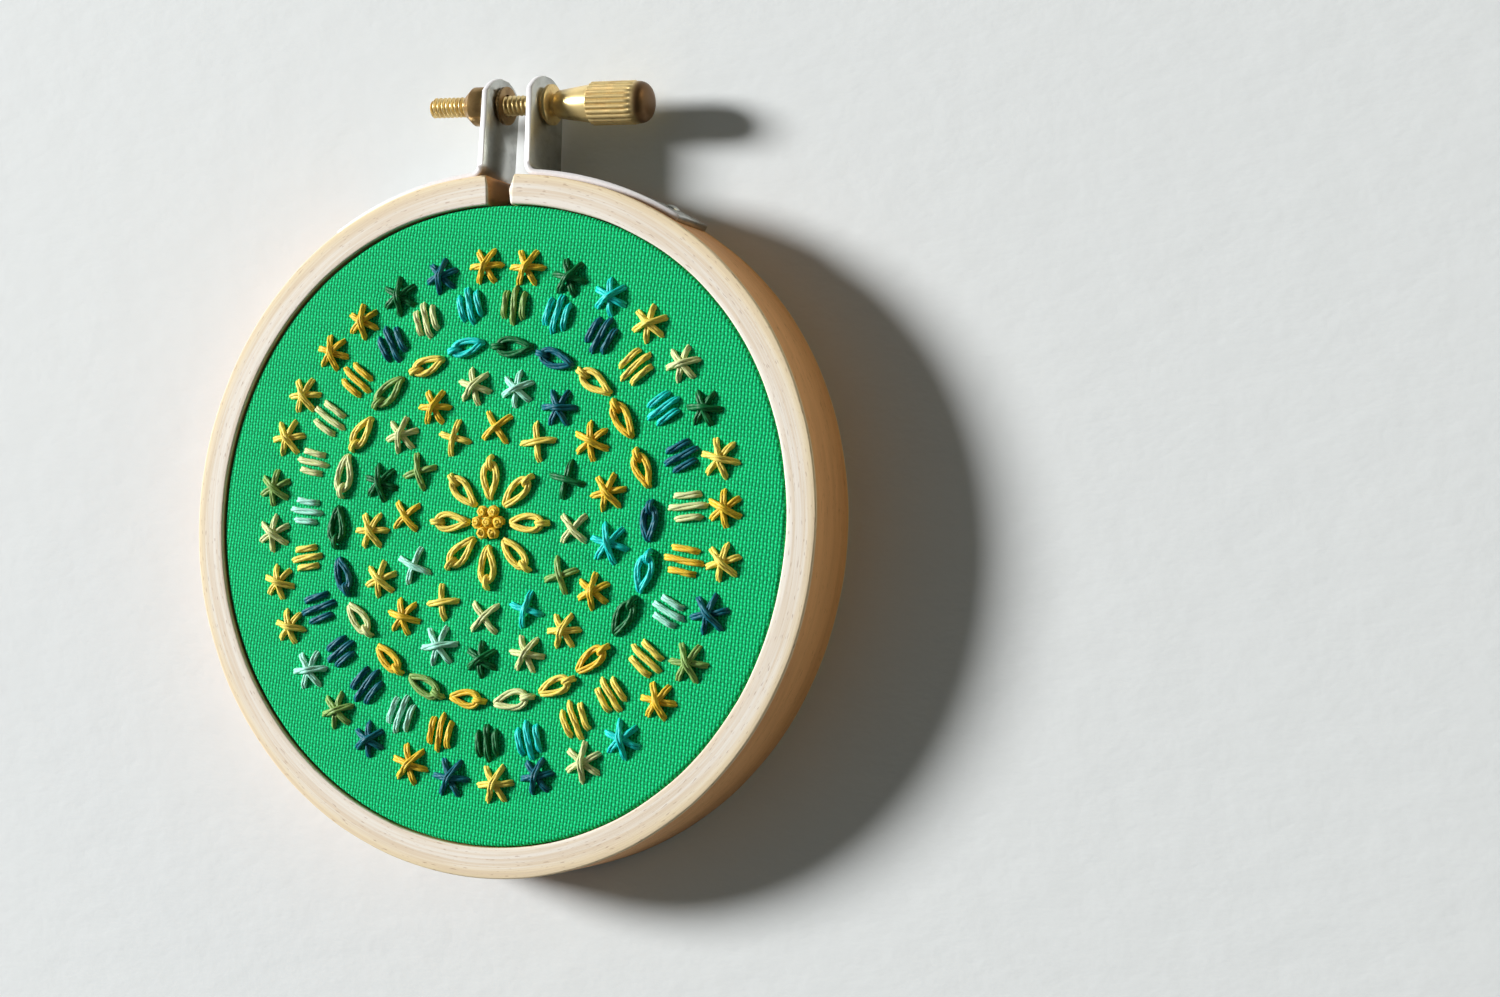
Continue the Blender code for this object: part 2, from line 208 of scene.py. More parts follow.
def plus(tree, *values):
    return calc(tree, "ADD", *values)


def calc_vector(tree, operation, *values):
    made = add(tree, "ShaderNodeVectorMath", enumerate(values), operation=operation)
    return made.outputs["Value" if operation in ("DOT_PRODUCT", "LENGTH") else "Vector"]


def scaled(tree, vector, factor):
    return add(tree, "ShaderNodeVectorMath", {0: vector, 3: factor}, operation="SCALE").outputs[0]


def vector_of(tree, *parts):
    return add(tree, "ShaderNodeCombineXYZ", enumerate(parts)).outputs[0]


def split(tree, vector):
    return add(tree, "ShaderNodeSeparateXYZ", {0: vector}).outputs


def rise(tree, value, low, high):
    """From 0 to 1 as the value goes from low to high, smoothly."""
    settings = {"Value": value, "From Min": low, "From Max": high}
    return add(tree, "ShaderNodeMapRange", settings, interpolation_type="SMOOTHSTEP").outputs[0]


def spread(tree, value, low, high):
    """From low to high as the value goes from 0 to 1."""
    return add(tree, "ShaderNodeMapRange", {"Value": value, "To Min": low, "To Max": high}).outputs[0]


def mottle(tree, vector, stretch, detail=2.0, roughness=0.5):
    """Noise from 0 to 1 whose grains are one over the stretch long, each way."""
    stretched = calc_vector(tree, "MULTIPLY", vector, stretch)
    values = {"Vector": stretched, "Scale": 1.0, "Detail": detail, "Roughness": roughness}
    return add(tree, "ShaderNodeTexNoise", values).outputs[0]


def tint(tree, factor, first, second):
    """A colour from first to second."""
    values = {0: factor, 6: whole(first), 7: whole(second)}
    return add(tree, "ShaderNodeMix", values, data_type="RGBA").outputs[2]


def whole(colour):
    """The colour with its alpha. A socket is left as it is."""
    return colour if isinstance(colour, bpy.types.NodeSocket) else (*colour, 1.0)


def new_group(name, inputs, outputs, kind="ShaderNodeTree"):
    """An empty node group, and its inside ends: each socket is (name, type) or (name, type, default)."""
    tree = bpy.data.node_groups.new(name, kind)
    for way, sockets in (("INPUT", inputs), ("OUTPUT", outputs)):
        for socket, form, *default in sockets:
            made = tree.interface.new_socket(socket, in_out=way, socket_type="NodeSocket" + form)
            if default:
                made.default_value = default[0]
    given = tree.nodes.new("NodeGroupInput").outputs
    result = tree.nodes.new("NodeGroupOutput").inputs
    return tree, given, result


def put_out(tree, result, **sockets):
    """Joins each socket to the input of its name, where _ stands for a space."""
    for name, socket in sockets.items():
        tree.links.new(socket, result[name.replace("_", " ")])


def group_node(tree, group, **values):
    """The group placed in a material, with its own values."""
    named = {name.replace("_", " "): value for name, value in values.items()}
    return add(tree, "ShaderNodeGroup", node_tree=bpy.data.node_groups[group], values=named).outputs


def new_material(name, roughness, **shader_values):
    """A material with its tree, its shader and the place on the piece in millimetres."""
    made = bpy.data.materials.new(name)
    made.use_nodes = True
    tree = made.node_tree
    shader = tree.nodes["Principled BSDF"]
    shader.inputs["Roughness"].default_value = roughness
    for key, value in shader_values.items():
        shader.inputs[key.replace("_", " ")].default_value = value
    place = tree.nodes.new("ShaderNodeTexCoord").outputs["Object"]
    return made, tree, shader, scaled(tree, place, PER_MM)


def join(tree, shader, **sockets):
    put_out(tree, shader.inputs, **sockets)


def bump(tree, height, depth, strength=1.0):
    values = {"Strength": strength, "Distance": depth, "Height": height}
    return add(tree, "ShaderNodeBump", values).outputs[0]


def bent_grain_group():
    """Beech bent round the hoop: its lines run along the strip, wherever that points."""
    inputs = (("Place", "Vector"),)
    outputs = (("Lines", "Float"), ("Flecks", "Float"), ("Fibres", "Float"), ("Radius", "Float"))
    tree, given, result = new_group("bent grain", inputs, outputs)
    x, y, z = split(tree, given["Place"])
    angle = calc(tree, "ARCTAN2", x, times(tree, y, -1.0))
    along = times(tree, angle, RING_R * PER_MM)
    radius = calc_vector(tree, "LENGTH", vector_of(tree, x, y))
    strip = vector_of(tree, along, radius, z)
    wide = mottle(tree, strip, (0.03, 1.1, 0.35), 3.0, 0.6)
    fine = mottle(tree, strip, (0.05, 5.0, 1.2), 3.0, 0.6)
    lines = plus(tree, times(tree, wide, 0.65), times(tree, fine, 0.35))
    flecks = rise(tree, mottle(tree, strip, (0.75, 5.0, 4.0), 1.0), 0.64, 0.74)
    fibres = mottle(tree, strip, (0.3, 13.0, 9.0), 2.0, 0.7)
    put_out(tree, result, Lines=rise(tree, lines, 0.38, 0.64), Flecks=flecks, Fibres=fibres, Radius=radius)


def plain_weave_group():
    """Plain weave: each thread goes over and under the next. Place is counted in threads."""
    inputs = (("Place", "Vector"),)
    outputs = (("Height", "Float"), ("Warp On Top", "Float"), ("Thread Tone", "Float"))
    tree, given, result = new_group("plain weave", inputs, outputs)
    x, y, _ = split(tree, given["Place"])
    parity = plus(tree, calc(tree, "FLOOR", x), calc(tree, "FLOOR", y))
    odd = calc(tree, "PINGPONG", parity, 1.0)
    side = calc(tree, "SUBTRACT", 1.0, times(tree, odd, 2.0))
    round_x = calc(tree, "ABSOLUTE", calc(tree, "SINE", times(tree, x, math.pi)))
    round_y = calc(tree, "ABSOLUTE", calc(tree, "SINE", times(tree, y, math.pi)))
    warp_rise = times(tree, times(tree, side, round_y), 0.34)
    weft_rise = times(tree, times(tree, side, round_x), -0.4)
    warp = calc(tree, "MULTIPLY_ADD", calc(tree, "POWER", round_x, 1.4), 0.62, warp_rise)
    weft = calc(tree, "MULTIPLY_ADD", round_y, 0.45, weft_rise)
    on_top = calc(tree, "GREATER_THAN", warp, weft)
    tones = []
    for across in (x, y):
        lane = {"W": calc(tree, "FLOOR", across)}
        tones.append(add(tree, "ShaderNodeTexWhiteNoise", lane, noise_dimensions="1D").outputs[0])
    tone = add(tree, "ShaderNodeMix", {0: on_top, 2: tones[1], 3: tones[0]}).outputs[0]
    height = calc(tree, "MAXIMUM", warp, weft)
    put_out(tree, result, Height=height, Warp_On_Top=on_top, Thread_Tone=tone)


def handled_metal_group():
    """Fine scratches along one way, and dull patches where a metal was handled."""
    inputs = (("Place", "Vector"), ("Stretch", "Vector"))
    outputs = (("Scratches", "Float"), ("Dullness", "Float"))
    tree, given, result = new_group("handled metal", inputs, outputs)
    scratches = mottle(tree, given["Place"], given["Stretch"], 3.0, 0.65)
    dullness = rise(tree, mottle(tree, given["Place"], (0.5, 0.6, 0.5), 3.0, 0.6), 0.42, 0.68)
    put_out(tree, result, Scratches=scratches, Dullness=dullness)


def beech_material(colours):
    """Pale planed faces with fine lines, honey-coloured bent sides with ray flecks, darker sawn ends. The
    faces' paleness and the sides' deeper orange are partly the wood's own tones and partly painted light
    and shade.
    """
    made, tree, shader, in_mm = new_material("beech", 0.6, Specular_IOR_Level=0.3)
    middle = tuple(-PER_MM * value for value in HOOP_MIDDLE)
    place = calc_vector(tree, "ADD", in_mm, middle)
    grain = group_node(tree, "bent grain", Place=place)
    x, _, z = split(tree, place)
    wander = times(tree, grain["Lines"], 0.6)
    honey_band = rise(tree, plus(tree, grain["Radius"], wander), 42.3, 43.9)
    face = tint(tree, honey_band, colours.wood_face, srgb(237, 217, 178))
    face = tint(tree, times(tree, grain["Lines"], 0.8), face, srgb(222, 201, 174))
    # The sides' deeper orange is partly painted warm shade.
    side = tint(tree, times(tree, grain["Lines"], 0.5), colours.wood_side, srgb(192, 139, 92))
    on_front = rise(tree, z, RING_DEPTH * PER_MM - 0.5, RING_DEPTH * PER_MM - 0.1)
    on_back = rise(tree, z, 0.5, 0.1)
    on_face = calc(tree, "MAXIMUM", on_front, on_back)
    colour = tint(tree, on_face, side, face)
    flecks = times(tree, grain["Flecks"], 0.45)
    colour = tint(tree, flecks, colour, srgb(150, 100, 60))
    facing = tree.nodes.new("ShaderNodeTexCoord").outputs["Normal"]
    sideways = rise(tree, calc(tree, "ABSOLUTE", split(tree, facing)[0]), 0.7, 0.85)
    in_gap = calc(tree, "LESS_THAN", calc(tree, "ABSOLUTE", x), 3.2)
    sawn = times(tree, times(tree, sideways, in_gap), 0.8)
    colour = tint(tree, sawn, colour, srgb(128, 100, 70))
    rough = spread(tree, grain["Fibres"], 0.5, 0.75)
    fibres = bump(tree, grain["Fibres"], 0.05 * MM, 0.6)
    join(tree, shader, Base_Color=colour, Roughness=rough, Normal=fibres)
    return made


def cotton_material(sizes, colours):
    """Plain-woven cotton: a painted highlight on the warp threads where they lie on top, and painted shade
    in the holes between the threads.
    """
    made, tree, shader, in_mm = new_material("green cotton", 0.8, Specular_IOR_Level=0.12)
    turned = add(tree, "ShaderNodeMapping", {"Vector": in_mm, "Rotation": (0, 0, -sizes.weave_turn)})
    pitch = (1 / (sizes.weave_across * PER_MM), 1 / (sizes.weave_along * PER_MM), 1)
    slow = {"Vector": in_mm, "Scale": 0.35, "Detail": 2.0}
    wobble = add(tree, "ShaderNodeTexNoise", slow).outputs["Color"]
    counted = calc_vector(tree, "MULTIPLY", turned.outputs[0], pitch)
    counted = calc_vector(tree, "ADD", counted, wobble)
    weave = group_node(tree, "plain weave", Place=counted)
    base = Vector(colours.cloth)
    tone = tint(tree, weave["Thread Tone"], base * 0.88, base * 1.12)
    # Painted highlight: a lighter mint where the warp lies on top.
    lit = tint(tree, weave["Warp On Top"], tone, srgb(26, 230, 148))
    # Painted shade: darker green in the holes between the threads, from the weave's height.
    depth = rise(tree, weave["Height"], 0.1, 0.85)
    shade = times(tree, calc(tree, "SUBTRACT", 1.0, depth), 0.85)
    colour = tint(tree, shade, lit, srgb(0, 96, 50))
    fuzz = mottle(tree, in_mm, (9.0, 9.0, 9.0), 2.0, 0.7)
    height = plus(tree, weave["Height"], times(tree, fuzz, 0.35))
    join(tree, shader, Base_Color=colour, Normal=bump(tree, height, 0.1 * MM))
    return made


def thread_material():
    """Stranded cotton: its own colour from each stitch, with plies that wind round every strand, and
    painted shade in the grooves between the plies.
    """
    made, tree, shader, in_mm = new_material("sewing thread", 0.52, Specular_IOR_Level=0.34)
    colour = add(tree, "ShaderNodeAttribute", attribute_name="thread colour").outputs["Color"]
    core = add(tree, "ShaderNodeAttribute", attribute_name="thread core").outputs["Vector"]
    beside = add(tree, "ShaderNodeAttribute", attribute_name="thread side").outputs["Vector"]
    along = add(tree, "ShaderNodeAttribute", attribute_name="thread along").outputs["Fac"]
    out = calc_vector(tree, "SUBTRACT", in_mm, scaled(tree, core, PER_MM))
    sideways = calc_vector(tree, "DOT_PRODUCT", out, beside)
    up = split(tree, out)[2]
    along_mm = times(tree, along, PER_MM)
    winding = times(tree, along_mm, math.tau / (PLIES * PLY_LENGTH_MM))
    turned = plus(tree, calc(tree, "ARCTAN2", up, sideways), winding)
    plies = rise(tree, calc(tree, "SINE", times(tree, turned, PLIES)), -1.0, 1.0)
    round_strand = vector_of(tree, calc(tree, "COSINE", turned), calc(tree, "SINE", turned), along_mm)
    fibres = mottle(tree, round_strand, (2.6, 2.6, 0.5), 2.0, 0.7)
    fuzz = mottle(tree, in_mm, (7.0, 7.0, 7.0), 3.0, 0.7)
    wound = calc(tree, "MULTIPLY_ADD", plies, 0.5, times(tree, fibres, 0.6))
    height = calc(tree, "MULTIPLY_ADD", fuzz, 0.2, wound)
    # Painted shade: darker in the grooves between the plies, from the ply height, with random tone from
    # the fibres and fuzz.
    darker = calc_vector(tree, "MULTIPLY", colour, (0.8, 0.8, 0.8))
    groove_shade_and_tone = tint(tree, rise(tree, height, 0.35, 0.85), darker, colour)
    join(tree, shader, Base_Color=groove_shade_and_tone, Normal=bump(tree, height, 0.05 * MM, 0.8))
    return made


def steel_material(colours):
    """Bright plated steel strip, a little dulled, with rolling marks along it."""
    made, tree, shader, in_mm = new_material("plated steel", 0.3, Metallic=1.0)
    metal = group_node(tree, "handled metal", Place=in_mm, Stretch=(1.2, 1.2, 14.0))
    colour = tint(tree, times(tree, metal["Dullness"], 0.3), colours.steel, srgb(142, 143, 136))
    rough = spread(tree, metal["Dullness"], 0.32, 0.42)
    marks = bump(tree, metal["Scratches"], 0.004 * MM, 0.5)
    join(tree, shader, Base_Color=colour, Roughness=rough, Normal=marks)
    return made


def sheared_material():
    """The strip's cut edges, left brighter and rougher than its faces."""
    made, tree, shader, in_mm = new_material("sheared steel", 0.42, Metallic=0.05)
    marks = mottle(tree, in_mm, (3.0, 3.0, 9.0), 2.0, 0.7)
    colour = tint(tree, marks, srgb(238, 236, 238), srgb(216, 214, 216))
    join(tree, shader, Base_Color=colour, Normal=bump(tree, marks, 0.01 * MM, 0.5))
    return made


def brass_material(name, clean, dull):
    """Turned brass, bright where it is rubbed and duller in patches. The screw's crown is painted dark
    brown and made rougher: painted shade for the end that faces away from the light.
    """
    made, tree, shader, in_mm = new_material(name, 0.28, Metallic=0.6)
    metal = group_node(tree, "handled metal", Place=in_mm, Stretch=(16.0, 0.8, 0.8))
    colour = tint(tree, times(tree, metal["Dullness"], 0.6), clean, dull)
    from_middle = calc_vector(tree, "SUBTRACT", in_mm, tuple(SCREW_MIDDLE * PER_MM))
    along = calc_vector(tree, "DOT_PRODUCT", from_middle, SCREW_WAY)
    # Painted shade: the crown at the screw's end is darkened to brown, and also made rougher.
    shaded_matte_crown = rise(tree, along, GRIP_END * PER_MM - 0.4, (GRIP_END + CROWN_LENGTH / 2) * PER_MM)
    colour = tint(tree, times(tree, shaded_matte_crown, 0.92), colour, srgb(100, 64, 34))
    rough = spread(tree, calc(tree, "MAXIMUM", metal["Dullness"], shaded_matte_crown), 0.28, 0.45)
    marks = bump(tree, metal["Scratches"], 0.012 * MM, 0.5)
    join(tree, shader, Base_Color=colour, Roughness=rough, Normal=marks)
    return made


MATERIALS = {}


def prepare_materials(scene):
    """Builds the shared groups once, and every finish."""
    if MATERIALS:
        return
    sizes = scene.hoop_sizes
    colours = scene.hoop_colours
    bent_grain_group()
    plain_weave_group()
    handled_metal_group()
    MATERIALS["beech"] = beech_material(colours)
    MATERIALS["cotton"] = cotton_material(sizes, colours)
    MATERIALS["sewing_thread"] = thread_material()
    MATERIALS["plated_steel"] = steel_material(colours)
    MATERIALS["sheared steel"] = sheared_material()
    MATERIALS["brass"] = brass_material("turned brass", colours.brass, srgb(204, 168, 108))
    # Painted shade: the nut's brass is made darker all over, standing for the shade that the nut lies in.
    MATERIALS["tarnished brass"] = brass_material("tarnished brass", srgb(166, 134, 86), srgb(122, 92, 56))


# Making meshes


def out_of_round(angle):
    """How far the bent rings stand out from a true circle at this angle."""
    share = 0.0
    for waves, cosine, sine in OUT_OF_ROUND:
        share += cosine * math.cos(waves * angle) + sine * math.sin(waves * angle)
    return RING_R * share


def in_scene(name, data):
    """A new object of the data, in the scene."""
    made = bpy.data.objects.new(name, data)
    bpy.context.scene.collection.objects.link(made)
    return made


def spun(profile, axis, steps, closed=False):
    """A bmesh of the profile's points turned once round an axis through the origin."""
    bm = bmesh.new()
    verts = [bm.verts.new(point) for point in profile]
    pairs = list(zip(verts, verts[1:]))
    if closed:
        pairs.append((verts[-1], verts[0]))
    edges = [bm.edges.new(pair) for pair in pairs]
    bmesh.ops.spin(
        bm, geom=verts + edges, cent=(0, 0, 0), axis=axis, angle=math.tau, steps=steps, use_merge=True
    )
    bmesh.ops.remove_doubles(bm, verts=bm.verts, dist=0.001 * MM)
    bmesh.ops.recalc_face_normals(bm, faces=bm.faces)
    return bm


def piece_from(bm, name, slot, sharp=math.radians(40)):
    """The bmesh as a smooth-shaded piece with the slot's material, in the scene."""
    mesh = bpy.data.meshes.new(name)
    bm.to_mesh(mesh)
    bm.free()
    mesh.materials.clear()
    mesh.materials.append(MATERIALS[slot])
    mesh.shade_smooth()
    mesh.set_sharp_from_angle(angle=sharp)
    return in_scene(name, mesh)


def as_piece(obj, body, slot, *nodes):
    """Makes it ride on its body, in place of the frame's plain nodes. Its slot is not used."""
    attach(obj, body)
    if nodes:
        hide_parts(*nodes)
    return obj


def baked(obj):
    """The object with its modifiers worked out once and removed."""
    shown = obj.evaluated_get(bpy.context.evaluated_depsgraph_get())
    mesh = bpy.data.meshes.new_from_object(shown)
    obj.modifiers.clear()
    old = obj.data
    obj.data = mesh
    bpy.data.meshes.remove(old)
    mesh.name = obj.name
    return obj


def combined(obj, other, operation):
    """The object cut by or joined with the other one, which is removed."""
    boolean = obj.modifiers.new(operation, "BOOLEAN")
    boolean.operation = operation
    boolean.solver = "EXACT"
    boolean.object = other
    baked(obj)
    bpy.data.objects.remove(other)
    return obj


def between(start, end, steps):
    """Evenly spaced points after start, up to and with the one before end."""
    return [start.lerp(end, step / steps) for step in range(1, steps)]


def wood_section(inner, outer, low, high, corner, top_corner=None):
    """Points round a strip's section, closely spaced on its faces, with sanded corners."""
    top = top_corner or corner
    centres = (
        (outer - top, high - top, 0.0, top),
        (inner + top, high - top, 90.0, top),
        (inner + corner, low + corner, 180.0, corner),
        (outer - corner, low + corner, 270.0, corner),
    )
    points = []
    for number, (x, z, start, radius) in enumerate(centres):
        for step in range(CORNER_STEPS + 1):
            angle = math.radians(start + 90.0 * step / CORNER_STEPS)
            points.append(Vector((x + radius * math.cos(angle), 0, z + radius * math.sin(angle))))
        next_x, next_z, next_start, next_radius = centres[(number + 1) % len(centres)]
        angle = math.radians(next_start)
        ahead = Vector((next_x + next_radius * math.cos(angle), 0, next_z + next_radius * math.sin(angle)))
        points += between(points[-1], ahead, FACE_STEPS if number % 2 == 0 else SIDE_STEPS)
    return points


def bend(bm, unevenness=0.0):
    """Bends a turned piece to the rings' roundness, and puts it at the hoop's middle."""
    for vert in bm.verts:
        flat = Vector((vert.co.x, vert.co.y))
        if flat.length > MM / PER_MM:
            angle = math.atan2(flat.y, flat.x)
            flat += flat.normalized() * out_of_round(angle)
            if unevenness:
                spot = Vector((flat.x, flat.y, vert.co.z * 3)) * PER_MM * 0.16
                flat += flat.normalized() * unevenness * noise.noise(spot)
            vert.co.x, vert.co.y = flat
    bmesh.ops.translate(bm, verts=bm.verts, vec=HOOP_MIDDLE)


def gap_cutter():
    """The space between the outer ring's sawn ends, as a solid."""
    bm = bmesh.new()
    corners = []
    for distance, sideways in LEFT_END + RIGHT_END:
        corners.append(bm.verts.new((sideways * MM, HOOP_MIDDLE.y + distance * MM, -RING_DEPTH)))
    base = bm.faces.new(corners)
    grown = bmesh.ops.extrude_face_region(bm, geom=[base])
    risen = [item for item in grown["geom"] if isinstance(item, bmesh.types.BMVert)]
    bmesh.ops.translate(bm, verts=risen, vec=(0, 0, 3 * RING_DEPTH))
    bmesh.ops.recalc_face_normals(bm, faces=bm.faces)
    return piece_from(bm, "gap cutter", "beech")


class HOOP_OT_rings(bpy.types.Operator):
    """Make the two bent beech rings, the outer one sawn open at the top"""

    bl_idname = "hoop.rings"
    bl_label = "Wooden Rings"

    def execute(self, context):
        prepare_materials(context.scene)
        sizes = context.scene.hoop_sizes
        section = wood_section(RING_INNER_R, RING_R, 0, RING_DEPTH, sizes.wood_edge)
        bm = spun(section, Z_AXIS, RING_STEPS, closed=True)
        bend(bm, sizes.wood_unevenness)
        outer = combined(piece_from(bm, "outer_hoop", "beech"), gap_cutter(), "DIFFERENCE")
        as_piece(outer, "hoop", "beech", "outer_ring")

        outside = CLOTH_R - CLOTH_THICKNESS - TOUCH
        top = CLOTH_TOP - CLOTH_THICKNESS - TOUCH
        fold = CLOTH_FOLD_R - CLOTH_THICKNESS
        section = wood_section(INNER_RING_INNER_R, outside, 0, top, sizes.wood_edge, fold)
        bm = spun(section, Z_AXIS, RING_STEPS // 2, closed=True)
        bend(bm)
        as_piece(piece_from(bm, "inner_hoop", "beech"), "hoop", "beech", "inner_ring")
        return {"FINISHED"}


# The design: rings of motifs round a flower, each a list of stitches


class Stitch:
    """One length of thread on the cloth, as the points that it follows, with its colour."""

    def __init__(self, points, colour):
        self.points = points
        self.colour = colour


def even_shares(steps):
    """From 0 to 1 in so many even steps."""
    return [step / steps for step in range(steps + 1)]


def lying(share, level):
    """A stitch's height at a share of its length: through the cloth at both ends, level between."""
    return (STITCH_LIE + STITCH_DIVE) * (1 - abs(2 * share - 1) ** level) - STITCH_DIVE


def on_cloth(middle, turn, along, sideways, height):
    """A place given from a motif's middle, along and across its direction, and above the cloth."""
    ahead = Vector((math.cos(turn), math.sin(turn)))
    across = Vector((-ahead.y, ahead.x))
    flat = middle + ahead * along + across * sideways
    return Vector((flat.x + HOOP_MIDDLE.x, flat.y + HOOP_MIDDLE.y, CLOTH_TOP + height))


STITCH_DIVE = 0.45 * MM
STITCH_LIE = 0.3 * MM
STITCH_STACK = 0.34 * MM
STITCH_POINTS = 14


def straight_stitch(middle, turn, start, end, colour, sideways=0.0, over=0.0, crossing=0.0):
    """Thread up through the cloth at start, down at end. It passes over others at the crossing."""
    points = []
    for share in even_shares(STITCH_POINTS):
        along = start + (end - start) * share
        height = lying(share, 6) + over * math.exp(-(((along - crossing) / MM) ** 2))
        points.append(on_cloth(middle, turn, along, sideways, height))
    return Stitch(points, colour)


def crossed(middle, turn, reach, colour, count):
    """Stitches that cross at the middle, each lying on the one before."""
    stitches = []
    for number in range(count):
        way = turn + math.pi * number / count
        stitches.append(straight_stitch(middle, way, -reach, reach, colour, over=STITCH_STACK * number))
    return stitches


# A petal's shape, as shares of its reach: how far the loop goes out, its half width, and its holder
PETAL_LENGTH = 0.86
PETAL_WIDTH = 0.46
HOLDER_START = 0.42
HOLDER_END = 1.05
HOLDER_CROSSING = 0.72


def star(middle, turn, reach, colour):
    return crossed(middle, turn, reach, colour, 3)


def cross(middle, turn, reach, colour):
    return crossed(middle, turn + math.pi / 4, reach, colour, 2)


def grains(middle, turn, reach, colour):
    """Three short stitches side by side, the middle one longer."""
    stitches = []
    for number in (-1, 0, 1):
        length = reach * (1.0 if number == 0 else 0.68)
        beside = number * 0.52 * reach
        stitches.append(straight_stitch(middle, turn, -length, length, colour, sideways=beside))
    return stitches


def petal(middle, turn, reach, colour):
    """A loop of thread held down at its tip by one short stitch."""
    points = []
    for share in even_shares(2 * STITCH_POINTS):
        swing = (1 - math.cos(math.tau * share)) / 2
        along = -reach + 2 * reach * swing * PETAL_LENGTH
        sideways = PETAL_WIDTH * reach * math.sin(math.tau * share) * math.sqrt(swing)
        points.append(on_cloth(middle, turn, along, sideways, lying(share, 14)))
    start = HOLDER_START * reach
    end = HOLDER_END * reach
    tip = HOLDER_CROSSING * reach
    holder = straight_stitch(middle, turn, start, end, colour, over=STITCH_STACK, crossing=tip)
    return [Stitch(points, colour), holder]


# A knot winds this many turns, in this many steps, and closes in by this share of its radius
KNOT_TURNS = 2
KNOT_STEPS = 30
KNOT_CLOSING = 0.45


def knot(middle, turn, reach, colour):
    """Thread wound twice into a round knot."""
    points = [on_cloth(middle, turn, 0, 0, -STITCH_DIVE)]
    for share in even_shares(KNOT_STEPS):
        angle = KNOT_TURNS * math.tau * share
        radius = reach * (1 - KNOT_CLOSING * share)
        height = STITCH_LIE + STITCH_STACK * 1.2 * share
        points.append(on_cloth(middle, turn + angle, radius, 0, height))
    points.append(on_cloth(middle, turn, 0, 0, STITCH_LIE))
    points.append(on_cloth(middle, turn, 0, 0, -STITCH_DIVE))
    return [Stitch(points, colour)]


# Each ring of motifs: (distance from the middle, number of motifs, motif, turn from the radius)
MOTIF_RINGS = (
    (11.9 * MM, 12, "crosses", 0.0),
    (17.0 * MM, 17, "stars", 0.0),
    (22.2 * MM, 22, "petals", math.pi / 2),
    (27.3 * MM, 27, "grains", 0.0),
    (32.2 * MM, 32, "stars", math.pi / 6),
)
# How unevenly they are sewn: shares of a motif's step, mm from its ring, radians, shares of its reach
MOTIF_DRIFT = 0.05
MOTIF_WANDER_MM = 0.25
MOTIF_SWING = 0.12
MOTIF_REACHES = (0.9, 1.06)

FLOWER_PETALS = 8
FLOWER_RADIUS = 5.6 * MM
KNOTS = 6
KNOT_RADIUS = 0.5 * MM
KNOT_RING = 1.5 * MM


def spot_at(angle, radius):
    return Vector((math.cos(angle), math.sin(angle))) * radius


def pick_colour(hand):
    weights = [weight for _, _, weight in THREADS]
    return hand.choices([colour for _, colour, _ in THREADS], weights)[0]


def design(sizes):
    """Every stitch of the design, in lists by the kind of motif."""
    hand = random.Random(7)
    kinds = {"stars": [], "crosses": [], "petals": [], "grains": [], "knots": []}
    makers = {"stars": star, "crosses": cross, "petals": petal, "grains": grains}
    heart, flower = THREADS[0][1], THREADS[1][1]
    kinds["knots"] += knot(Vector((0, 0)), 0.0, KNOT_RADIUS, heart)
    for number in range(KNOTS):
        turn = math.tau * number / KNOTS
        kinds["knots"] += knot(spot_at(turn, KNOT_RING), turn, KNOT_RADIUS, heart)
    for number in range(FLOWER_PETALS):
        turn = math.tau * number / FLOWER_PETALS
        kinds["petals"] += petal(spot_at(turn, FLOWER_RADIUS), turn, sizes.motif_reach, flower)
    for radius, count, kind, leaning in MOTIF_RINGS[: sizes.motif_rings]:
        first = hand.uniform(0, math.pi)
        for number in range(count):
            drift = hand.uniform(-MOTIF_DRIFT, MOTIF_DRIFT)
            angle = first + math.tau * (number + drift) / count
            spot = spot_at(angle, radius + hand.uniform(-MOTIF_WANDER_MM, MOTIF_WANDER_MM) * MM)
            turn = angle + leaning + hand.uniform(-MOTIF_SWING, MOTIF_SWING)
            reach = sizes.motif_reach * hand.uniform(*MOTIF_REACHES)
            kinds[kind] += makers[kind](spot, turn, reach, pick_colour(hand))
    return kinds


def reverse_side(kinds):
    """The thread behind the cloth: from the end of each stitch to the next one near it."""
    longest = 9 * MM
    lie = CLOTH_THICKNESS + STITCH_LIE
    runs = []
    for stitches in kinds.values():
        for first, second in zip(stitches, stitches[1:]):
            start = first.points[-1]
            end = second.points[0]
            if first.colour != second.colour or not MM < (end - start).length < longest:
                continue
            points = []
            for share in even_shares(STITCH_POINTS):
                spot = start.lerp(end, share)
                spot.z = CLOTH_TOP - lie + (lie - STITCH_DIVE) * abs(2 * share - 1) ** 6
                points.append(spot)
            runs.append(Stitch(points, first.colour))
    return runs


def made_real(tree, geometry, material):
    """The geometry with its instances realized and its material set, which ends each tree."""
    real = add(tree, "GeometryNodeRealizeInstances", {"Geometry": geometry}).outputs[0]
    return add(tree, "GeometryNodeSetMaterial", {"Geometry": real, "Material": material}).outputs[0]


